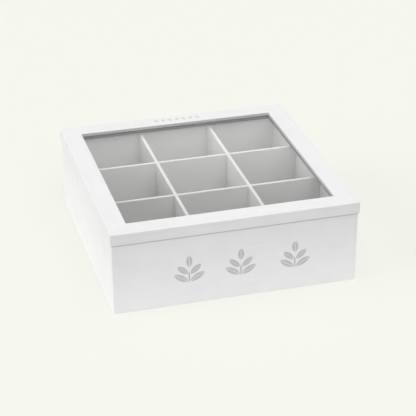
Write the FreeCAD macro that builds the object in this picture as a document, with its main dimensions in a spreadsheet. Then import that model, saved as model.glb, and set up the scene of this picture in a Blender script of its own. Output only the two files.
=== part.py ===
import FreeCAD, Part
import os
import Sketcher

# A square tea box: four walls, a base let in flush, cross-lapped divider slats,
# and a mitred lid frame glazed from below, hung on two butt hinges.
# Millimetres. +Z up, origin at the middle of the underside, front towards -Y.

SIZES = [
    # the whole box
    ("lid_width", 240.0, "outside of the lid along X"),
    ("lid_depth", 240.0, "outside of the lid along Y"),
    ("box_height", 83.5, "table to the top of the closed lid"),
    ("lid_height", 11.5, "thickness of the lid frame"),
    ("lid_overhang", 1.2, "lid beyond the walls, all round"),
    ("soft_edge", 0.8, "rounding of the outer corners and of the lid's top"),
    ("fine_edge", 0.4, "rounding beside the seam and round the window"),
    # walls, base and dividers
    ("wall_thick", 9.0, "wall board"),
    ("base_thick", 4.0, "base board"),
    ("base_rebate", 4.0, "how far the base is let into the walls"),
    ("base_gap", 0.2, "base to the rebate's shoulder"),
    ("slat_thick", 3.0, "divider board"),
    ("slat_drop", 0.8, "divider tops below the rim"),
    ("slat_gap", 0.2, "divider ends to the walls"),
    ("lap_gap", 0.1, "play in the cross laps, each side and in depth"),
    # lid frame and glazing
    ("rail_width", 19.2, "face of a frame rail"),
    ("lip_thick", 3.5, "frame left above the glass"),
    ("glass_rebate", 5.0, "step behind the lip for the glass"),
    ("glass_thick", 2.0, "pane"),
    ("glass_gap", 0.5, "pane to the rebate's shoulder"),
    ("bead_high", 4.0, "glazing bead under the pane"),
    ("bead_setback", 0.8, "bead's inner face behind the lip"),
    ("bead_round", 2.0, "rounding of the bead's free edge"),
    ("bead_gap", 0.1, "bead to the rebate's shoulder"),
    # hinges
    ("hinge_length", 25.0, "length of the knuckle"),
    ("hinge_spread", 136.0, "middle of one hinge to the middle of the other"),
    ("leaf_reach", 7.5, "pin axis to the leaf's far edge"),
    ("leaf_thick", 0.9, "leaf plate"),
    ("leaf_gap", 0.05, "each leaf below the seam it lies in"),
    ("seat_gap", 0.15, "leaf to the sides of its seat"),
    ("knuckle_radius", 2.0, "outside of the barrel"),
    ("knuckle_gap", 0.2, "between neighbouring knuckles"),
    ("barrel_gap", 0.3, "barrel to the wood round it"),
    ("pin_radius", 0.8, "hinge pin"),
    ("pin_play", 0.05, "pin to its bore and its heads to the barrel's ends"),
    ("head_radius", 1.3, "peened head of the pin"),
    ("head_thick", 0.6, "peened head of the pin"),
    ("screw_bore", 1.8, "diameter of a screw hole in a leaf"),
    ("screw_sink", 3.4, "diameter of its countersink"),
    ("screw_inset", 2.7, "screw to the leaf's far edge"),
    ("screw_spread", 15.0, "between the two screws of a leaf"),
    ("stop_angle", 106.0, "opening at which the lid's overhang meets the wall"),
]

CELLS = 3  # compartments along each side, parted by two slats each way
KNUCKLES = 3  # of a hinge's barrel: the lid's leaf holds the middle one
OVERCUT = 1.0  # how far cutting outlines run past the wood they cut

# Worked out from the sizes above, so that what fits together stays together.
WORKED = [
    ("body_width", "Sizes.lid_width - 2 * Sizes.lid_overhang"),
    ("body_depth", "Sizes.lid_depth - 2 * Sizes.lid_overhang"),
    ("body_height", "Sizes.box_height - Sizes.lid_height"),
    ("inner_width", "body_width - 2 * Sizes.wall_thick"),
    ("inner_depth", "body_depth - 2 * Sizes.wall_thick"),
    ("slat_height", "body_height - Sizes.base_thick - Sizes.slat_drop"),
    ("pitch_x", f"(inner_width + Sizes.slat_thick) / {CELLS}"),
    ("pitch_y", f"(inner_depth + Sizes.slat_thick) / {CELLS}"),
    ("window_width", "Sizes.lid_width - 2 * Sizes.rail_width"),
    ("window_depth", "Sizes.lid_depth - 2 * Sizes.rail_width"),
    ("lip_level", "Sizes.box_height - Sizes.lip_thick"),
    ("glass_level", "lip_level - Sizes.glass_thick"),
    ("bead_level", "glass_level - Sizes.bead_high"),
    ("seat_depth", "Sizes.leaf_thick + Sizes.leaf_gap"),
    ("barrel_room", "Sizes.knuckle_radius + Sizes.barrel_gap"),
    ("knuckle_pitch", f"(Sizes.hinge_length + Sizes.knuckle_gap) / {KNUCKLES}"),
    ("bore_radius", "Sizes.pin_radius + Sizes.pin_play"),
    ("pin_half", "Sizes.hinge_length / 2 + Sizes.pin_play + Sizes.head_thick"),
    # The rounded lower edge of the overhang turns about the pin and lands on the
    # wall's outer face at stop_angle, which sets how far the pin stands off it.
    ("stop_sine", "sin(Sizes.stop_angle * 1 deg)"),
    ("stop_cosine", "cos(Sizes.stop_angle * 1 deg)"),
    (
        "pin_offset",
        "(Sizes.fine_edge * (1 - stop_sine)"
        " - (Sizes.lid_overhang - Sizes.fine_edge) * stop_cosine) / (1 - stop_cosine)",
    ),
    ("pin_y", "body_depth / 2 + pin_offset"),
]

doc = FreeCAD.newDocument("TeaBox")


def fill_sheet(name, rows):
    sheet = doc.addObject("Spreadsheet::Sheet", name)
    for line, (alias, content, *note) in enumerate(rows, start=1):
        sheet.set(f"A{line}", alias)
        sheet.set(f"B{line}", content if isinstance(content, str) else repr(content))
        sheet.setAlias(f"B{line}", alias)
        if note:
            sheet.set(f"C{line}", note[0])
    doc.recompute()
    return sheet


fill_sheet("Sizes", SIZES)
worked = fill_sheet("Worked", [(alias, "=" + formula) for alias, formula in WORKED])


def value(formula):
    """The number that an expression on the sheets gives now."""
    result = worked.evalExpression(str(formula))
    return float(getattr(result, "Value", result))


def place(obj, x="0", y="0", z="0", turn=0.0):
    """Bind an object's place to the sheets, turned about +Z by a fixed angle."""
    obj.Placement.Rotation = FreeCAD.Rotation(FreeCAD.Vector(0, 0, 1), turn)
    for axis, formula in zip("xyz", (x, y, z)):
        obj.setExpression(f"Placement.Base.{axis}", formula)


def rectangle(left, low, right, high):
    return [(left, low), (right, low), (right, high), (left, high)]


def sketch_on(body, name, role, lift="0"):
    sketch = body.newObject("Sketcher::SketchObject", name)
    plane = next(o for o in body.Origin.OriginFeatures if o.Role == role)
    sketch.AttachmentSupport = [(plane, "")]
    sketch.MapMode = "FlatFace"
    sketch.setExpression("AttachmentOffset.Base.z", lift)
    return sketch


def pin_point(sketch, geometry, end, x, y):
    """Hold one point of a sketch at x and y, which are expressions."""
    for kind, formula in (("DistanceX", x), ("DistanceY", y)):
        index = sketch.addConstraint(
            Sketcher.Constraint(kind, -1, 1, geometry, end, value(formula))
        )
        sketch.setExpression(f"Constraints[{index}]", formula)


def outlines(body, name, role, loops, lift="0"):
    """A sketch of closed straight-sided loops whose corners are expressions."""
    sketch = sketch_on(body, name, role, lift)
    for corners in loops:
        first = sketch.GeometryCount
        points = [FreeCAD.Vector(value(x), value(y), 0) for x, y in corners]
        for start, end in zip(points, points[1:] + points[:1]):
            sketch.addGeometry(Part.LineSegment(start, end), False)
        for step, (x, y) in enumerate(corners):
            line = first + step
            after = first + (step + 1) % len(corners)
            sketch.addConstraint(Sketcher.Constraint("Coincident", line, 2, after, 1))
            pin_point(sketch, line, 1, x, y)
    return sketch


def circles(body, name, role, centres, radius, lift="0"):
    sketch = sketch_on(body, name, role, lift)
    for x, y in centres:
        middle = FreeCAD.Vector(value(x), value(y), 0)
        normal = FreeCAD.Vector(0, 0, 1)
        ring = sketch.addGeometry(Part.Circle(middle, normal, value(radius)), False)
        pin_point(sketch, ring, 3, x, y)
        index = sketch.addConstraint(Sketcher.Constraint("Radius", ring, value(radius)))
        sketch.setExpression(f"Constraints[{index}]", radius)
    return sketch


def pad(body, sketch, length, side="One side"):
    feature = body.newObject("PartDesign::Pad", f"{sketch.Name}_pad")
    feature.Profile = sketch
    feature.SideType = side
    feature.setExpression("Length", length)
    doc.recompute()
    return feature


def pocket(body, sketch, depth, into, side="One side"):
    """Cut a sketch into the body; into is +1 along the sketch's normal, -1 against it."""
    before = body.Shape.Volume
    feature = body.newObject("PartDesign::Pocket", f"{sketch.Name}_pocket")
    feature.Profile = sketch
    feature.SideType = side
    feature.Reversed = into > 0
    feature.setExpression("Length", depth)
    doc.recompute()
    if not body.Shape.Volume < before - 1e-3:
        raise RuntimeError(f"{feature.Name} in {body.Label} cuts nothing")
    return feature


def soften(body, name, radius, wanted):
    """Round the edges of the body's tip for which wanted(edge) is true."""
    tip = body.Tip
    edges = [f"Edge{i}" for i, e in enumerate(tip.Shape.Edges, start=1) if wanted(e)]
    feature = body.newObject("PartDesign::Fillet", name)
    feature.Base = (tip, edges)
    feature.setExpression("Radius", radius)
    doc.recompute()
    return feature


def lies(edge, **at):
    """True if every point of the edge has these coordinates, such as z=0."""
    box = edge.BoundBox
    return all(
        abs(getattr(box, axis.upper() + end) - where) < 1e-4
        for axis, where in at.items()
        for end in ("Min", "Max")
    )


def new_body(name):
    body = doc.addObject("PartDesign::Body", name)
    body.Label = name
    return body


pieces = []


def keep(piece):
    """Count an object as a piece of the box, filed under its own name."""
    piece.Label = piece.Name
    pieces.append(piece)
    return piece


# ---- walls: outer face on y = 0 looking to -Y, running along X, standing on z = 0


def wall(name, length, rebate_length, rounded):
    body = keep(new_body(name))
    plan = rectangle(f"-{length} / 2", "0", f"{length} / 2", "Sizes.wall_thick")
    pad(body, outlines(body, f"{name}_plan", "XY_Plane", [plan]), "Worked.body_height")
    if rounded:
        half = value(f"{length} / 2")
        soften(
            body,
            f"{name}_corners",
            "Sizes.soft_edge",
            lambda e: lies(e, x=-half, y=0) or lies(e, x=half, y=0),
        )
    step = rectangle(
        f"-{rebate_length} / 2",
        "Sizes.wall_thick - Sizes.base_rebate",
        f"{rebate_length} / 2",
        f"Sizes.wall_thick + {OVERCUT}",
    )
    sketch = outlines(body, f"{name}_rebate", "XY_Plane", [step])
    pocket(body, sketch, "Sizes.base_thick", into=+1)
    return body


def hinge_seats(body, level, into, axis_y, inward):
    """Seats for both hinges, cut into the face at this level of a wall or rail.

    axis_y is where the pins lie in the body's own frame, and inward, +1 or -1, is the
    way along Y from there into the wood.
    """
    leaf_half = "(Sizes.hinge_length / 2 + Sizes.seat_gap)"
    barrel_half = "(Worked.pin_half + Sizes.barrel_gap)"
    outside = f"{axis_y} - {inward} * (Sizes.lid_overhang + {OVERCUT})"
    cuts = (
        ("leaf", leaf_half, "Sizes.leaf_reach + Sizes.seat_gap", "Worked.seat_depth"),
        ("barrel", barrel_half, "Worked.barrel_room", "Worked.barrel_room"),
    )
    for what, half, reach, depth in cuts:
        loops = [
            rectangle(
                f"{side} * Sizes.hinge_spread / 2 - {half}",
                outside,
                f"{side} * Sizes.hinge_spread / 2 + {half}",
                f"{axis_y} + {inward} * ({reach})",
            )
            for side in (-1, 1)
        ]
        sketch = outlines(body, f"{body.Name}_{what}", "XY_Plane", loops, level)
        pocket(body, sketch, depth, into)


rebate_width = "(Worked.inner_width + 2 * Sizes.base_rebate)"
rebate_depth = "(Worked.inner_depth + 2 * Sizes.base_rebate)"

wall_front = wall("wall_front", "Worked.body_width", rebate_width, rounded=True)
place(wall_front, y="-Worked.body_depth / 2")

wall_back = wall("wall_back", "Worked.body_width", rebate_width, rounded=True)
hinge_seats(wall_back, "Worked.body_height", -1, "-Worked.pin_offset", +1)
place(wall_back, y="Worked.body_depth / 2", turn=180)

for side, word in ((-1, "left"), (1, "right")):
    depth = "Worked.inner_depth"
    side_wall = wall(f"wall_{word}", depth, depth, rounded=False)
    place(side_wall, x=f"{side} * Worked.body_width / 2", turn=side * 90)

base = keep(doc.addObject("Part::Box", "base_panel"))
base.setExpression("Length", f"{rebate_width} - 2 * Sizes.base_gap")
base.setExpression("Width", f"{rebate_depth} - 2 * Sizes.base_gap")
base.setExpression("Height", "Sizes.base_thick")
place(base, x="-base_panel.Length / 2", y="-base_panel.Width / 2")


# ---- dividers: slats on edge, halved over each other where they cross


def slat(name, run, cross_pitch, slots_up):
    """A slat along X with a slot at each crossing, open upwards or downwards."""
    half = f"({run} / 2 - Sizes.slat_gap)"
    slot = "(Sizes.slat_thick / 2 + Sizes.lap_gap)"
    cut = "(Worked.slat_height / 2 + Sizes.lap_gap)"
    mouth, far = ("Worked.slat_height", "0") if slots_up else ("0", "Worked.slat_height")
    floor = f"Worked.slat_height - {cut}" if slots_up else cut
    comb = [(f"-{half}", far), (f"-{half}", mouth)]
    for side in (-1, 1):
        middle = f"{side} * {cross_pitch} / 2"
        comb += [(f"{middle} - {slot}", mouth), (f"{middle} - {slot}", floor)]
        comb += [(f"{middle} + {slot}", floor), (f"{middle} + {slot}", mouth)]
    comb += [(half, mouth), (half, far)]
    body = keep(new_body(name))
    sketch = outlines(body, f"{name}_face", "XZ_Plane", [comb])
    pad(body, sketch, "Sizes.slat_thick", side="Symmetric")
    return body


for side, word in ((-1, "front"), (1, "back")):
    crosswise = slat(f"slat_{word}", "Worked.inner_width", "Worked.pitch_x", True)
    place(crosswise, y=f"{side} * Worked.pitch_y / 2", z="Sizes.base_thick")

for side, word in ((-1, "left"), (1, "right")):
    lengthwise = slat(f"slat_{word}", "Worked.inner_depth", "Worked.pitch_y", False)
    place(lengthwise, x=f"{side} * Worked.pitch_x / 2", z="Sizes.base_thick", turn=90)


# ---- lid: a moulded frame and its glazing beads, both parted at the same mitres


def block(name, half_x, half_y, low, height):
    body = new_body(name)
    plan = rectangle(f"-{half_x}", f"-{half_y}", half_x, half_y)
    pad(body, outlines(body, f"{name}_plan", "XY_Plane", [plan], low), height)
    return body


def opening(body, name, half_x, half_y, low, height):
    """Cut a rectangle out of the middle of a block, from its underside at low."""
    plan = rectangle(f"-{half_x}", f"-{half_y}", half_x, half_y)
    sketch = outlines(
        body, f"{body.Name}_{name}", "XY_Plane", [plan], f"{low} - {OVERCUT}"
    )
    pocket(body, sketch, f"{height} + {OVERCUT}", into=+1)


def along_sides(edge, half_x, half_y):
    """True for an edge along the rectangle of these half sizes."""
    x, y = value(half_x), value(half_y)
    return any(lies(edge, x=side * x) or lies(edge, y=side * y) for side in (-1, 1))


def mitre_saws():
    """Four prisms that cover the lid's sides and meet on its mitres."""
    reach = f"(Sizes.rail_width + {OVERCUT})"
    signs = (("-", "-"), ("", "-"), ("", ""), ("-", ""))
    far, near = (
        [
            (f"{a}(Sizes.lid_width / 2 {step})", f"{b}(Sizes.lid_depth / 2 {step})")
            for a, b in signs
        ]
        for step in (f"+ {OVERCUT}", f"- {reach}")
    )
    saws = {}
    for i, word in enumerate(("front", "right", "back", "left")):
        j = (i + 1) % 4
        plan = [far[i], far[j], near[j], near[i]]
        saw = new_body(f"mitre_saw_{word}")
        sketch = outlines(saw, f"mitre_{word}", "XY_Plane", [plan], "Worked.body_height")
        pad(saw, sketch, "Sizes.lid_height")
        saws[word] = saw
    return saws


def part_at_mitres(stock, prefix, saws):
    for word, saw in saws.items():
        piece = keep(doc.addObject("Part::Common", f"{prefix}_{word}"))
        piece.Base = stock
        piece.Tool = saw


half_lid = ("Sizes.lid_width / 2", "Sizes.lid_depth / 2")
half_window = ("Worked.window_width / 2", "Worked.window_depth / 2")
half_rebate = tuple(f"({half} + Sizes.glass_rebate)" for half in half_window)
half_glass = tuple(f"({half} - Sizes.glass_gap)" for half in half_rebate)
half_bead = tuple(f"({half} - Sizes.bead_gap)" for half in half_rebate)
half_sight = tuple(f"({half} + Sizes.bead_setback)" for half in half_window)

seam, top = value("Worked.body_height"), value("Sizes.box_height")
frame = block("lid_frame", *half_lid, "Worked.body_height", "Sizes.lid_height")
soften(frame, "lid_crown", "Sizes.soft_edge", lambda e: not lies(e, z=seam))
soften(frame, "lid_seam", "Sizes.fine_edge", lambda e: lies(e, z=seam))
through = f"Sizes.lid_height + {OVERCUT}"
opening(frame, "window", *half_window, "Worked.body_height", through)
soften(
    frame,
    "lid_window_edge",
    "Sizes.fine_edge",
    lambda e: lies(e, z=top) and along_sides(e, *half_window),
)
step = "Sizes.lid_height - Sizes.lip_thick"
opening(frame, "rebate", *half_rebate, "Worked.body_height", step)
hinge_seats(frame, "Worked.body_height", +1, "Worked.pin_y", -1)

bead_level = value("Worked.bead_level")
bead = block("bead_frame", *half_bead, "Worked.bead_level", "Sizes.bead_high")
opening(bead, "sight", *half_sight, "Worked.bead_level", f"Sizes.bead_high + {OVERCUT}")
soften(
    bead,
    "bead_free_edge",
    "Sizes.bead_round",
    lambda e: lies(e, z=bead_level) and along_sides(e, *half_sight),
)

saws = mitre_saws()
part_at_mitres(frame, "lid_rail", saws)
part_at_mitres(bead, "glass_bead", saws)

glass = keep(doc.addObject("Part::Box", "glass_pane"))
glass.setExpression("Length", f"2 * {half_glass[0]}")
glass.setExpression("Width", f"2 * {half_glass[1]}")
glass.setExpression("Height", "Sizes.glass_thick")
place(glass, x=f"-{half_glass[0]}", y=f"-{half_glass[1]}", z="Worked.glass_level")


# ---- hinges: pin along X through the origin, leaves reaching towards -Y


def hinge_leaf(name, up):
    """A leaf for the lid's underside (up = +1) or for the wall's rim (up = -1)."""
    body = keep(new_body(name))
    whole = "Sizes.hinge_length"
    near, far = f"{up} * Sizes.leaf_gap", f"{up} * Worked.seat_depth"
    plate = rectangle("-Sizes.leaf_reach", near, "0", far)
    pad(body, outlines(body, f"{name}_plate", "YZ_Plane", [plate]), whole, "Symmetric")
    centre = [("0", "0")]
    barrel = circles(body, f"{name}_barrel", "YZ_Plane", centre, "Sizes.knuckle_radius")
    pad(body, barrel, whole, "Symmetric")

    missing = range(0 if up > 0 else 1, KNUCKLES, 2)
    room = "Worked.barrel_room"
    gaps = [
        rectangle(
            f"-{whole} / 2 + {i} * Worked.knuckle_pitch - Sizes.knuckle_gap",
            f"-{room}",
            f"-{whole} / 2 + {i + 1} * Worked.knuckle_pitch",
            room,
        )
        for i in missing
    ]
    sketch = outlines(body, f"{name}_gaps", "XY_Plane", gaps)
    pocket(body, sketch, f"2 * {room}", into=+1, side="Symmetric")
    bore = circles(body, f"{name}_bore", "YZ_Plane", centre, "Worked.bore_radius")
    pocket(body, bore, f"{whole} + 2 * {OVERCUT}", into=+1, side="Symmetric")

    screws = [
        (f"{side} * Sizes.screw_spread / 2", "-Sizes.leaf_reach + Sizes.screw_inset")
        for side in (-1, 1)
    ]
    sketch = circles(
        body, f"{name}_screws", "XY_Plane", screws, "Sizes.screw_bore / 2", near
    )
    before = body.Shape.Volume
    hole = body.newObject("PartDesign::Hole", f"{name}_countersinks")
    hole.Profile = sketch
    hole.Reversed = up > 0
    hole.DepthType = "ThroughAll"
    hole.HoleCutType = "Countersink"
    hole.HoleCutCountersinkAngle = 90
    hole.setExpression("Diameter", "Sizes.screw_bore")
    hole.setExpression("HoleCutDiameter", "Sizes.screw_sink")
    doc.recompute()
    if not body.Shape.Volume < before - 1e-3:
        raise RuntimeError(f"{hole.Name} cuts nothing")
    return body


def hinge_pin(name):
    """A pin with a flat peened head at each end."""
    body = keep(new_body(name))
    shoulder = "(Sizes.hinge_length / 2 + Sizes.pin_play)"
    half = [
        (shoulder, "Sizes.pin_radius"),
        (shoulder, "Sizes.head_radius"),
        ("Worked.pin_half", "Sizes.head_radius"),
        ("Worked.pin_half", "0"),
    ]
    profile = half + [(f"-({x})", y) for x, y in reversed(half)]
    turned = body.newObject("PartDesign::Revolution", f"{name}_turned")
    sketch = outlines(body, f"{name}_profile", "XY_Plane", [profile])
    turned.Profile = sketch
    turned.ReferenceAxis = (sketch, ["H_Axis"])
    turned.Angle = 360
    doc.recompute()
    return body


for side, word in ((-1, "left"), (1, "right")):
    hinge = (
        hinge_leaf(f"hinge_{word}_box_leaf", -1),
        hinge_leaf(f"hinge_{word}_lid_leaf", +1),
        hinge_pin(f"hinge_{word}_pin"),
    )
    for piece in hinge:
        place(
            piece,
            x=f"{side} * Sizes.hinge_spread / 2",
            y="Worked.pin_y",
            z="Worked.body_height",
        )


# ---- check every object, then write one file for each piece

doc.recompute()
for obj in doc.Objects:
    if {"Invalid", "Error"} & set(obj.State):
        raise RuntimeError(f"{obj.Name} failed: {obj.State}")

os.makedirs("parts", exist_ok=True)
for piece in pieces:
    shape = piece.Shape
    if shape.isNull() or not shape.isValid() or len(shape.Solids) != 1:
        raise RuntimeError(f"{piece.Label} is not one sound solid")
    shape.exportStep(f"parts/{piece.Label}.step")
    print(f"{piece.Label}: {shape.Volume / 1000:.2f} cm3")
print(f"{len(pieces)} pieces, pin axis at y = {value('Worked.pin_y'):.3f} mm")
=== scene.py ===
import math

import bpy
from mathutils import Matrix, Vector


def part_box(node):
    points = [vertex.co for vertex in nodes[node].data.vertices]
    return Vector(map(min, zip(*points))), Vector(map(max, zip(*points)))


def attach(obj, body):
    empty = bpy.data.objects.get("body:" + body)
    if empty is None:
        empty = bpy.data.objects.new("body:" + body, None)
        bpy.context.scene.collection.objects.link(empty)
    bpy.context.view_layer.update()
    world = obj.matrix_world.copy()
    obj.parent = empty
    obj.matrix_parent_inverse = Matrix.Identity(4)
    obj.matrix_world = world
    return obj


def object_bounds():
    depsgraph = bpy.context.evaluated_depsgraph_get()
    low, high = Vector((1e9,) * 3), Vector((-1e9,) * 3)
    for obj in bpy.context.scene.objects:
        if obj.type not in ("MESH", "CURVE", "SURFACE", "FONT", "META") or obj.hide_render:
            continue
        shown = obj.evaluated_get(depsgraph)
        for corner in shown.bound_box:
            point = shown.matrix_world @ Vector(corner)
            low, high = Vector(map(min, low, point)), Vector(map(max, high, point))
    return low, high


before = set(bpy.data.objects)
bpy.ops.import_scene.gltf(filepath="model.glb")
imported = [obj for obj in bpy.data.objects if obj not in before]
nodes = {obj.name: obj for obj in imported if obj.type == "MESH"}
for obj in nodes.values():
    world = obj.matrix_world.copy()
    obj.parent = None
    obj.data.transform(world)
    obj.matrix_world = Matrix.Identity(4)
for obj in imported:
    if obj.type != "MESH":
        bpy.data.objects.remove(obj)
cadLow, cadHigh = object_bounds()
print("frame loaded:", len(nodes), "pieces")

mm = 0.001
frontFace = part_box("wall_front")[0].y
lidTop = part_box("lid_rail_back")[1].z
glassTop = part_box("glass_pane")[1].z


class Wire:  # an output socket that takes part in arithmetic
    def __init__(self, recipe, socket):
        self.recipe = recipe
        self.socket = socket

    def maths(self, operation, *values):
        settings = {"operation": operation}
        return self.recipe.node("ShaderNodeMath", settings, dict(enumerate(values)))

    def __add__(self, other):
        return self.maths("ADD", self, other)

    def __radd__(self, other):
        return self.maths("ADD", other, self)

    def __sub__(self, other):
        return self.maths("SUBTRACT", self, other)

    def __rsub__(self, other):
        return self.maths("SUBTRACT", other, self)

    def __mul__(self, other):
        return self.maths("MULTIPLY", self, other)

    def __rmul__(self, other):
        return self.maths("MULTIPLY", other, self)

    def __abs__(self):
        return self.maths("ABSOLUTE", self)

    def atLeast(self, other):
        return self.maths("MAXIMUM", self, other)

    def ramp(self, low, high):  # 0 at low, 1 at high, with a soft start and end
        settings = {"interpolation_type": "SMOOTHSTEP", "clamp": True}
        inputs = {"Value": self, "From Min": low, "From Max": high}
        return self.recipe.node("ShaderNodeMapRange", settings, inputs)


class Recipe:  # a node tree under construction
    def __init__(self, tree):
        self.tree = tree
        tree.nodes.clear()

    def node(self, kind, settings=None, inputs=None, output=0):
        made = self.tree.nodes.new(kind)
        for name, value in (settings or {}).items():
            setattr(made, name, value)
        for key, value in (inputs or {}).items():
            if isinstance(value, Wire):
                self.tree.links.new(value.socket, made.inputs[key])
            else:
                made.inputs[key].default_value = value
        return Wire(self, made.outputs[output])

    def place(self):
        return self.node("ShaderNodeTexCoord", output="Object")

    def parts(self, vector):  # x, y and z
        split = self.node("ShaderNodeSeparateXYZ", None, {0: vector})
        return [Wire(self, output) for output in split.socket.node.outputs]

    def turned(self, vector, turn=0.0, scale=(1, 1, 1)):
        inputs = {"Vector": vector, "Rotation": (0, 0, turn), "Scale": scale}
        return self.node("ShaderNodeMapping", None, inputs)

    def noise(self, vector, scale, detail=2.0, roughness=0.5):
        inputs = {
            "Vector": vector,
            "Scale": scale,
            "Detail": detail,
            "Roughness": roughness,
        }
        return self.node("ShaderNodeTexNoise", None, inputs)

    def blend(self, factor, first, second):  # two colours
        inputs = {"Factor": factor, 6: first, 7: second}
        return self.node("ShaderNodeMix", {"data_type": "RGBA"}, inputs, output=2)

    def mixShaders(self, factor, first, second):
        return self.node("ShaderNodeMixShader", None, {0: factor, 1: first, 2: second})

    def lightPath(self, *names):  # 1 for any of these kinds of ray
        path = self.node("ShaderNodeLightPath")
        rays = [Wire(self, path.socket.node.outputs[name]) for name in names]
        total = rays[0]
        for ray in rays[1:]:
            total = total.atLeast(ray)
        return total

    def finish(self, shader, kind="ShaderNodeOutputMaterial"):
        last = self.tree.nodes.new(kind)
        self.tree.links.new(shader.socket, last.inputs["Surface"])


def newMaterial(name):
    material = bpy.data.materials.new(name)
    material.use_nodes = True
    return material, Recipe(material.node_tree)


def grey(level, warm=0.0):
    return (level * (1 + warm), level, level * (1 - warm), 1)


def dress(names, material):
    for name in names:
        slots = nodes[name].data.materials
        slots.clear()
        slots.append(material)


# satin white paint, rolled on along each board
boardPaint = dict(
    tone=0.86,
    roughness=0.42,
    ior=1.46,
    streakLong=70 * mm,  # roller and brush streaks
    streakWide=1.5 * mm,
    streakTone=0.072,
    streakRough=0.12,
    streakHigh=0.006 * mm,
    cloudSize=24 * mm,
    cloudTone=0.090,
    peelSize=0.8 * mm,
    peelHigh=0.0035 * mm,
    edgeWide=(0.9 * mm, 0.18 * mm),  # thin paint on the arrises: starts, and is full
    edgePatches=(0.35, 0.6),  # cloud levels over which it shows
    edgeTone=0.035,
    edgeRough=0.1,
    jointWide=(0.056 * mm, 0.14 * mm),  # hairlines where boards meet: dark to, faded at
    jointTone=0.09,
    jointDeep=0.03 * mm,
    rimDirt=(0.9 * mm, 1.7 * mm, 0.34),  # painted shade under the lid's edge: from and to, down from the rim, and its tone
    lipDirt=(0.25 * mm, 0.5 * mm, 0.62),  # painted shade where the lip meets the glass: from and to, up from the glass, and its tone
    insideTone=0.82,  # painted shade on the faces inside the compartments, as a share of the outer tone
    lipTone=0.79,  # and painted shade on the faces round the window
    insideRough=0.14,
    insideSide=(0.1 * mm, 0.3 * mm),  # where it ends, out from the inner faces
    insideTop=(0.15 * mm, 0.05 * mm),  # and down from the top
    beadTone=0.38,  # the glazing beads, much darker, as a share of the outer tone
    beadRough=0.25,
    baseRough=0.1,
)


def arrisMask(paint, here, bounds, values):  # near two of a box's faces at once
    start, full = values["edgeWide"]
    near = []
    for level, low, high in zip(paint.parts(here), *bounds):
        half = (high - low) / 2
        near.append(abs(level - (low + high) / 2).ramp(half - start, half - full))
    return (near[0] * near[1]).atLeast(near[1] * near[2]).atLeast(near[0] * near[2])


def mitreLine(paint, here, values):  # the lid's corners
    x, y, z = paint.parts(here)
    return 1 - abs(abs(x) - abs(y)).ramp(*values["jointWide"])


def cornerLine(paint, here, values):  # ends of the side walls, on the outer faces
    x, y, z = paint.parts(here)
    dark, faded = values["jointWide"]
    line = 1 - abs(abs(y) - clearHalf).ramp(dark, faded)
    return line * abs(x).ramp(wallHigh.x - faded, wallHigh.x - dark)


def insideMask(paint, here, values, halfClear, rim):  # 1 on what faces the middle
    x, y, z = paint.parts(here)
    across = abs(x).atLeast(abs(y))
    sideStart, sideEnd = values["insideSide"]
    topStart, topEnd = values["insideTop"]
    inwards = 1 - across.ramp(halfClear + sideStart, halfClear + sideEnd)
    return inwards * (1 - z.ramp(rim - topStart, rim - topEnd))


def rimDirt(paint, here, values):  # painted shade on the walls just under the lid's edge
    x, y, z = paint.parts(here)
    near, far, tone = values["rimDirt"]
    rim = wallHigh.z
    return z.ramp(rim - far, rim - near) * (1 - z.ramp(rim - near / 2, rim)) * tone


def lipDirt(paint, here, values):  # and painted shade where the lid's lip meets the glass
    x, y, z = paint.parts(here)
    near, far, tone = values["lipDirt"]
    foot = 1 - z.ramp(glassTop + near, glassTop + far)
    return foot * insideMask(paint, here, values, *lipRim[:2]) * tone


def paintedBoard(
    name, along, bounds, values, rougher=0.0, tone=1.0, inside=None, joint=None, paintedShade=None
):
    material, paint = newMaterial(name)
    here = paint.place()
    turn = 0.0 if along == "x" else math.pi / 2
    streakScale = (1 / values["streakLong"],) + (1 / values["streakWide"],) * 2
    aligned = paint.turned(here, turn)
    streaks = paint.noise(
        paint.turned(aligned, scale=streakScale), 1.0, detail=3.0, roughness=0.6
    )
    clouds = paint.noise(here, 1 / values["cloudSize"], detail=3.0)
    peel = paint.noise(here, 1 / values["peelSize"], detail=1.0)
    worn = arrisMask(paint, here, bounds, values) * clouds.ramp(*values["edgePatches"])
    uneven = (streaks - 0.5) * values["streakTone"] + (clouds - 0.5) * values["cloudTone"]
    shade = 1.0 - worn * values["edgeTone"] + uneven
    # painted shade on the inner faces, which also get a rougher coat
    if inside:
        halfClear, rim, innerShadeTone = inside
        within = insideMask(paint, here, values, halfClear, rim)
        shade = shade * (1 - within * (1 - innerShadeTone))
        rougher = rougher + within * values["insideRough"]
    # painted shade under the lid's edge or at the lip's foot
    if paintedShade:
        shade = shade * (1 - paintedShade(paint, here, values))
    relief = streaks * values["streakHigh"] + peel * values["peelHigh"]
    if joint:
        line = joint(paint, here, values)
        shade = shade * (1 - line * values["jointTone"])
        relief = relief - line * values["jointDeep"]
    colour = paint.node(
        "ShaderNodeVectorMath",
        {"operation": "SCALE"},
        {0: grey(values["tone"] * tone)[:3], "Scale": shade},
    )
    bump = paint.node("ShaderNodeBump", None, {"Height": relief, "Distance": 1.0})
    rough = values["roughness"] + rougher
    rough = rough + (streaks - 0.5) * values["streakRough"] + worn * values["edgeRough"]
    shader = paint.node(
        "ShaderNodeBsdfPrincipled",
        None,
        {"Base Color": colour, "Roughness": rough, "Normal": bump, "IOR": values["ior"]},
    )
    paint.finish(shader)
    return material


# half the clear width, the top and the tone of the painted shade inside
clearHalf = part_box("wall_right")[0].x
wallRim = (clearHalf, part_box("wall_front")[1].z, boardPaint["insideTone"])
slatRim = (clearHalf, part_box("slat_front")[1].z, boardPaint["insideTone"])
lipRim = (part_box("lid_rail_right")[0].x, lidTop, boardPaint["lipTone"])

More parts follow.
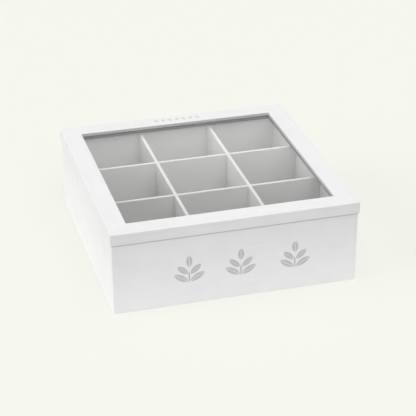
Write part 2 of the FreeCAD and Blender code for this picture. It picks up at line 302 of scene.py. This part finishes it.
wallLow = Vector((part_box("wall_left")[0].x, frontFace, 0))
wallHigh = Vector((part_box("wall_right")[1].x, -frontFace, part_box("wall_front")[1].z))
lidLow = Vector((cadLow.x, cadLow.y, wallHigh.z))
lidHigh = Vector((cadHigh.x, -cadLow.y, lidTop))
walls, lid = (wallLow, wallHigh), (lidLow, lidHigh)

bead = dict(rougher=boardPaint["beadRough"], tone=boardPaint["beadTone"])
coats = {
    "wall_": dict(bounds=walls, inside=wallRim, joint=cornerLine, paintedShade=rimDirt),
    "slat_": dict(bounds=walls, inside=slatRim),
    "lid_rail_": dict(bounds=lid, inside=lipRim, joint=mitreLine, paintedShade=lipDirt),
    "glass_bead_": dict(bounds=walls, **bead),
}
for along, sides in (("x", ("front", "back")), ("y", ("left", "right"))):
    for start, coat in coats.items():
        board = paintedBoard(start + "paint_" + along, along, values=boardPaint, **coat)
        dress([start + side for side in sides], board)

base = paintedBoard(
    "base_paint", "x", walls, boardPaint, rougher=boardPaint["baseRough"], inside=wallRim
)
dress(["base_panel"], base)
print("boards painted")


paneGlass = dict(
    tint=(0.981, 0.983, 0.981, 1),
    ior=1.5,
    haze=0.012,
    hazeSize=22 * mm,
    hazePatches=(0.4, 0.8),
    clearTint=(0.968, 0.972, 0.969, 1),  # for the light that passes to the compartments
)


def clearGlass(values):
    material, paint = newMaterial("pane_glass")
    patches = paint.noise(paint.place(), 1 / values["hazeSize"], detail=3.0)
    haze = patches.ramp(*values["hazePatches"])
    glass = paint.node(
        "ShaderNodeBsdfPrincipled",
        None,
        {
            "Base Color": values["tint"],
            "Roughness": haze * values["haze"],
            "IOR": values["ior"],
            "Transmission Weight": 1.0,
        },
    )
    through = paint.node("ShaderNodeBsdfTransparent", None, {0: values["clearTint"]})
    passing = paint.lightPath("Is Shadow Ray", "Is Diffuse Ray")
    paint.finish(paint.mixShaders(passing, glass, through))
    return material


dress(["glass_pane"], clearGlass(paneGlass))
print("glass laid")


# plated steel, brushed along the hinges
hingeSteel = dict(colour=(0.60, 0.59, 0.57, 1), roughness=0.28)
screwSteel = dict(colour=(0.78, 0.78, 0.76, 1), roughness=0.2)
platingWear = dict(
    brushScale=(60, 4000, 4000),
    brushRough=0.2,
    brushHigh=0.002 * mm,
    spotScale=900.0,
    spotLevels=(0.62, 0.8),
    spotTone=grey(0.30, 0.03),
    spotShare=0.5,
    spotRough=0.25,
)


def platedSteel(name, steel, wear):
    material, paint = newMaterial(name)
    here = paint.place()
    brushed = paint.noise(paint.turned(here, scale=wear["brushScale"]), 1.0)
    spots = paint.noise(here, wear["spotScale"], detail=3.0).ramp(*wear["spotLevels"])
    colour = paint.blend(spots * wear["spotShare"], steel["colour"], wear["spotTone"])
    rough = steel["roughness"] + (brushed - 0.5) * wear["brushRough"]
    rough = rough + spots * wear["spotRough"]
    bump = paint.node(
        "ShaderNodeBump", None, {"Height": brushed * wear["brushHigh"], "Distance": 1.0}
    )
    shader = paint.node(
        "ShaderNodeBsdfPrincipled",
        None,
        {"Base Color": colour, "Metallic": 1.0, "Roughness": rough, "Normal": bump},
    )
    paint.finish(shader)
    return material


hingePlating = platedSteel("hinge_plating", hingeSteel, platingWear)
dress([name for name in nodes if name.startswith("hinge_")], hingePlating)
print("hinges plated")


def deselectAll():
    bpy.ops.object.select_all(action="DESELECT")


def editStart():
    bpy.ops.object.mode_set(mode="EDIT")
    bpy.ops.mesh.select_all(action="SELECT")


def editEnd():
    bpy.ops.object.mode_set(mode="OBJECT")


def pickFaces(piece, wanted):  # selects faces by centre and normal, in edit mode
    bpy.ops.mesh.select_mode(type="FACE")
    bpy.ops.mesh.select_all(action="DESELECT")
    bpy.ops.object.mode_set(mode="OBJECT")
    for face in piece.data.polygons:
        face.select = wanted(face.center, face.normal)
    bpy.ops.object.mode_set(mode="EDIT")


def copyOf(piece, name, place):  # with a mesh of its own, moved by the matrix
    copy = piece.copy()
    copy.data = piece.data.copy()
    copy.name = name
    bpy.context.collection.objects.link(copy)
    copy.data.transform(place)
    return copy


def joined(parts, name):
    deselectAll()
    for part in parts:
        part.select_set(True)
    bpy.context.view_layer.objects.active = parts[0]
    bpy.ops.object.join()
    parts[0].name = name
    return parts[0]


def settled(piece, material, body):  # painted, and riding on its body
    piece.data.materials.clear()
    piece.data.materials.append(material)
    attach(piece, body)


# grey ink, a little thin in places
printInk = dict(
    roughness=0.5,
    ior=1.45,
    speckSize=0.5 * mm,
    speckTone=0.10,
    speckRough=0.2,
    speckHigh=0.004 * mm,
    patchSize=9 * mm,
    patchTone=0.06,
)

frontSprigs = dict(
    tone=0.56,
    spots=(-46 * mm, 4 * mm, 57 * mm),  # along the front
    foot=18.5 * mm,
    stem=(20.0 * mm, 1.6 * mm),  # length and width
    leaves=(  # height on the stem, length, width and tilt
        (5.5 * mm, 16.0 * mm, 6.0 * mm, 58.0),
        (13.3 * mm, 13.5 * mm, 5.6 * mm, 48.0),
        (20.6 * mm, 11.8 * mm, 5.8 * mm, 0.0),
    ),
    aside=1.1 * mm,  # from the stem's middle to a side leaf
    rib=0.5 * mm,  # bare line down the middle of a leaf
    film=0.07 * mm,
    sunk=0.02 * mm,
)

railLeaves = dict(
    tone=0.66,
    count=7,
    middle=(3 * mm, 111 * mm),  # of the row, on the lid's back rail
    pitch=7.4 * mm,
    leaf=(7.6 * mm, 2.9 * mm),  # length and width
    tilt=27.0,  # to either side in turn
    rib=0.0,
    film=0.02 * mm,
    sunk=0.02 * mm,
)


def inkPaint(name, tone, values):
    material, paint = newMaterial(name)
    here = paint.place()
    specks = paint.noise(here, 1 / values["speckSize"])
    thin = paint.noise(here, 1 / values["patchSize"], detail=3.0)
    shade = 1 + (specks - 0.5) * values["speckTone"] + (thin - 0.5) * values["patchTone"]
    colour = paint.node(
        "ShaderNodeVectorMath",
        {"operation": "SCALE"},
        {0: grey(tone)[:3], "Scale": shade},
    )
    bump = paint.node(
        "ShaderNodeBump", None, {"Height": specks * values["speckHigh"], "Distance": 1.0}
    )
    rough = values["roughness"] + (specks - 0.5) * values["speckRough"]
    shader = paint.node(
        "ShaderNodeBsdfPrincipled",
        None,
        {"Base Color": colour, "Roughness": rough, "Normal": bump, "IOR": values["ior"]},
    )
    paint.finish(shader)
    return material


def flatLeaf(long, wide, rib):  # lies on z = 0 with its root at the origin, along +Y
    bulge = (wide - rib) / 2
    radius = (long**2 / 4 + bulge**2) / (2 * bulge)
    deselectAll()
    bpy.ops.mesh.primitive_circle_add(vertices=128, radius=radius, fill_type="NGON")
    leaf = bpy.context.object
    editStart()
    cut = radius - bulge
    bpy.ops.mesh.bisect(
        plane_co=(cut, 0, 0), plane_no=(1, 0, 0), clear_inner=True, use_fill=False
    )
    editStart()
    bpy.ops.transform.translate(value=(rib / 2 - cut, long / 2, 0))
    editEnd()
    mirror = leaf.modifiers.new("other_half", "MIRROR")
    mirror.use_mirror_merge = rib == 0
    bpy.ops.object.modifier_apply(modifier=mirror.name)
    return leaf


def printed(parts, name, values, place):  # gives the flat shapes their film of ink
    shape = joined(parts, name)
    editStart()
    bpy.ops.mesh.extrude_region_move(
        TRANSFORM_OT_translate={"value": (0, 0, values["film"] + values["sunk"])}
    )
    bpy.ops.mesh.select_all(action="SELECT")
    bpy.ops.mesh.normals_make_consistent(inside=False)
    bpy.ops.transform.translate(value=(0, 0, -values["sunk"]))
    editEnd()
    shape.data.transform(Matrix.Translation(shape.location))
    shape.location = (0, 0, 0)
    shape.data.transform(place)
    return shape


def tilted(x, y, degrees):
    return Matrix.Translation((x, y, 0)) @ Matrix.Rotation(math.radians(degrees), 4, "Z")


def makeSprigs(values, ink):
    stem = flatLeaf(*values["stem"], 0)
    parts = [stem]
    for rise, long, wide, tilt in values["leaves"]:
        leaf = flatLeaf(long, wide, values["rib"])
        for side in (-1, 1) if tilt else (1,):
            across = -side * values["aside"] if tilt else 0
            parts.append(copyOf(leaf, "leaf", tilted(across, rise, side * tilt)))
        bpy.data.objects.remove(leaf)
    upright = Matrix.Rotation(math.pi / 2, 4, "X")
    sprig = printed(parts, "front_sprig", values, upright)
    for i, x in enumerate(values["spots"], start=1):
        spot = Matrix.Translation((x, frontFace, values["foot"]))
        settled(copyOf(sprig, f"front_sprig_{i}", spot), ink, "box")
    bpy.data.objects.remove(sprig)


def makeRailLeaves(values, ink):
    leaf = flatLeaf(*values["leaf"], values["rib"])
    centred = Matrix.Translation((0, -values["leaf"][0] / 2, 0))
    parts = []
    for i in range(values["count"]):
        across = (i - (values["count"] - 1) / 2) * values["pitch"]
        tilt = values["tilt"] * (-1) ** i
        parts.append(copyOf(leaf, "rail_leaf", tilted(across, 0, tilt) @ centred))
    bpy.data.objects.remove(leaf)
    x, y = values["middle"]
    row = printed(parts, "rail_leaves", values, Matrix.Translation((x, y, lidTop)))
    settled(row, ink, "lid")


makeSprigs(frontSprigs, inkPaint("front_ink", frontSprigs["tone"], printInk))
makeRailLeaves(railLeaves, inkPaint("rail_ink", railLeaves["tone"], printInk))
print("leaves printed")


hingeScrew = dict(
    headRadius=1.6 * mm,
    neckRadius=0.8 * mm,
    headRim=0.12 * mm,
    deep=0.86 * mm,
    sunk=0.03 * mm,  # head below the leaf's face
    slot=(0.2 * mm, 0.95 * mm),  # half width and half length of the cross recess
    slotDeep=0.4 * mm,
    slotTaper=0.7,
    inset=2.7 * mm,  # from the leaf's far edge
    spread=15 * mm,
    turns=(12, 71, 34, 55, 8, 63, 27, 80),  # how each recess happens to stand
    faces=(  # the leaf's body, its face from the box's rim and the screw's half turn
        ("box", -0.05 * mm, 0.0),
        ("lid", 0.05 * mm, math.pi),
    ),
)


def screwHead(values):  # top face on z = 0
    deep = values["deep"]
    deselectAll()
    bpy.ops.mesh.primitive_cone_add(
        vertices=36,
        radius1=values["neckRadius"],
        radius2=values["headRadius"],
        depth=deep,
        location=(0, 0, -deep / 2),
    )
    screw = bpy.context.object
    screw.data.transform(Matrix.Translation(screw.location))
    screw.location = (0, 0, 0)
    editStart()
    pickFaces(screw, lambda centre, normal: normal.z > 0.9)
    bpy.ops.mesh.inset(thickness=values["headRim"])
    half, long = values["slot"]
    for way in ((1, 0, 0), (0, 1, 0)):
        for level in (-long, -half, half, long):
            pickFaces(screw, lambda c, n: n.z > 0.9 and c.xy.length < values["headRadius"])
            bpy.ops.mesh.bisect(plane_co=[level * w for w in way], plane_no=way)
    pickFaces(
        screw,
        lambda c, n: n.z > 0.9
        and min(abs(c.x), abs(c.y)) < half
        and max(abs(c.x), abs(c.y)) < long,
    )
    bpy.ops.mesh.extrude_region_move(
        TRANSFORM_OT_translate={"value": (0, 0, -values["slotDeep"])}
    )
    bpy.ops.transform.resize(value=(values["slotTaper"], values["slotTaper"], 1))
    editEnd()
    bpy.ops.object.shade_smooth_by_angle(angle=math.radians(30))
    return screw


def makeScrews(values, material):
    screw = screwHead(values)
    turns = iter(values["turns"])
    for side in ("left", "right"):
        for body, proud, flip in values["faces"]:
            low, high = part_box(f"hinge_{side}_{body}_leaf")
            for i in (-1, 1):
                x = (low.x + high.x) / 2 + i * values["spread"] / 2
                y = low.y + values["inset"]
                spot = Matrix.Translation((x, y, wallHigh.z + proud))
                spot = spot @ Matrix.Rotation(flip, 4, "X")
                spot = spot @ Matrix.Rotation(math.radians(next(turns)), 4, "Z")
                spot = spot @ Matrix.Translation((0, 0, -values["sunk"]))
                name = f"screw_{body}_{side}_{(i + 3) // 2}"
                settled(copyOf(screw, name, spot), material, body)
    bpy.data.objects.remove(screw)


makeScrews(hingeScrew, platedSteel("screw_plating", screwSteel, platingWear))
print("screws set")


studio = dict(
    backdrop=(0.930, 0.939, 0.871, 1),
    floorSize=12,
    floorGap=0.1 * mm,  # under the box
    tableTone=0.90,  # the white table round the box, as it lights it
    roomTone=0.12,  # the floor past it
    tableEnd=(0.24, 0.42),  # where the table fades out, from the middle of the box
    shadowShare=0.35,  # of the floor's look that its shadows reach
    shadowPaper=(0.852, 0.859, 0.799, 1),
    domeLight=0.30,
    mirrorTones=(0.93, 1.50, 0.10),  # what gloss mirrors low down, in a band and above
    mirrorBand=(0.28, 0.37),  # sines of the heights over which the band starts
    mirrorFade=(0.41, 0.47),  # and over which it ends
    softboxes=(  # strength, width in degrees, azimuth (0 is the front) and height
        (0.510, 50.0, -90.0, 20.0),
        (0.360, 50.0, 0.0, 50.0),
        (0.185, 50.0, 90.0, 50.0),
        (0.080, 50.0, 180.0, 62.0),
        (0.091, 50.0, 0.0, 89.0),
    ),
)


def makeFloor(values):
    deselectAll()
    level = cadLow.z - values["floorGap"]
    bpy.ops.mesh.primitive_plane_add(size=values["floorSize"], location=(0, 0, level))
    floor = bpy.context.object
    floor.name = "floor"
    material, paint = newMaterial("floor_paper")
    away = paint.node(
        "ShaderNodeVectorMath", {"operation": "LENGTH"}, {0: paint.place()}, "Value"
    )
    edge = away.ramp(*values["tableEnd"])
    tones = grey(values["tableTone"]), grey(values["roomTone"])
    bounce = paint.node("ShaderNodeBsdfDiffuse", None, {0: paint.blend(edge, *tones)})
    lit = paint.node("ShaderNodeBsdfDiffuse", None, {0: values["shadowPaper"]})
    even = paint.node("ShaderNodeEmission", None, {0: values["backdrop"], 1: 1.0})
    shown = paint.mixShaders(values["shadowShare"], even, lit)
    seen = paint.lightPath("Is Camera Ray", "Is Glossy Ray", "Is Transmission Ray")
    paint.finish(paint.mixShaders(seen, bounce, shown))
    floor.data.materials.append(material)


def makeWorld(values):
    world = bpy.data.worlds.new("studio")
    bpy.context.scene.world = world
    world.use_nodes = True
    paint = Recipe(world.node_tree)
    level = values["domeLight"]
    dome = paint.node("ShaderNodeBackground", None, {0: grey(level), 1: 1.0})
    way = paint.node("ShaderNodeTexCoord", output="Generated")
    rise = paint.node("ShaderNodeSeparateXYZ", None, {0: way}, "Z")
    wall, band, ceiling = [grey(tone) for tone in values["mirrorTones"]]
    mirrored = paint.blend(rise.ramp(*values["mirrorBand"]), wall, band)
    mirrored = paint.blend(rise.ramp(*values["mirrorFade"]), mirrored, ceiling)
    ahead = paint.lightPath("Is Camera Ray", "Is Transmission Ray")
    colour = paint.blend(ahead, mirrored, values["backdrop"])
    shown = paint.node("ShaderNodeBackground", None, {0: colour, 1: 1.0})
    seen = paint.lightPath("Is Camera Ray", "Is Glossy Ray", "Is Transmission Ray")
    paint.finish(paint.mixShaders(seen, dome, shown), "ShaderNodeOutputWorld")


def bearing(azimuth, height):  # the way to a point, with the front at azimuth 0
    a, e = math.radians(azimuth), math.radians(height)
    return Vector((math.sin(a) * math.cos(e), -math.cos(a) * math.cos(e), math.sin(e)))


def makeSoftboxes(values):
    for strength, width, azimuth, height in values["softboxes"]:
        way = bearing(azimuth, height)
        turn = way.to_track_quat("Z", "Y").to_euler()
        bpy.ops.object.light_add(type="SUN", location=way * 2, rotation=turn)
        lamp = bpy.context.object
        lamp.name = "softbox"
        lamp.data.energy = strength * math.pi
        lamp.data.angle = math.radians(width)


makeFloor(studio)
makeWorld(studio)
makeSoftboxes(studio)
print("studio lit")


cameraLook = dict(
    lens=126.44,
    sensor=36,
    target=(0.0044, -0.0045, 0.0358),
    azimuth=-15.85,
    elevation=27.64,
    distance=1.4605,
)


def makeCamera(look):
    back = bearing(look["azimuth"], look["elevation"])
    spot = Vector(look["target"]) + back * look["distance"]
    turn = (-back).to_track_quat("-Z", "Y").to_euler()
    bpy.ops.object.camera_add(location=spot, rotation=turn)
    camera = bpy.context.object
    camera.data.sensor_width = look["sensor"]
    camera.data.lens = look["lens"]
    bpy.context.scene.camera = camera


makeCamera(cameraLook)
bpy.context.scene.view_settings.view_transform = "Standard"
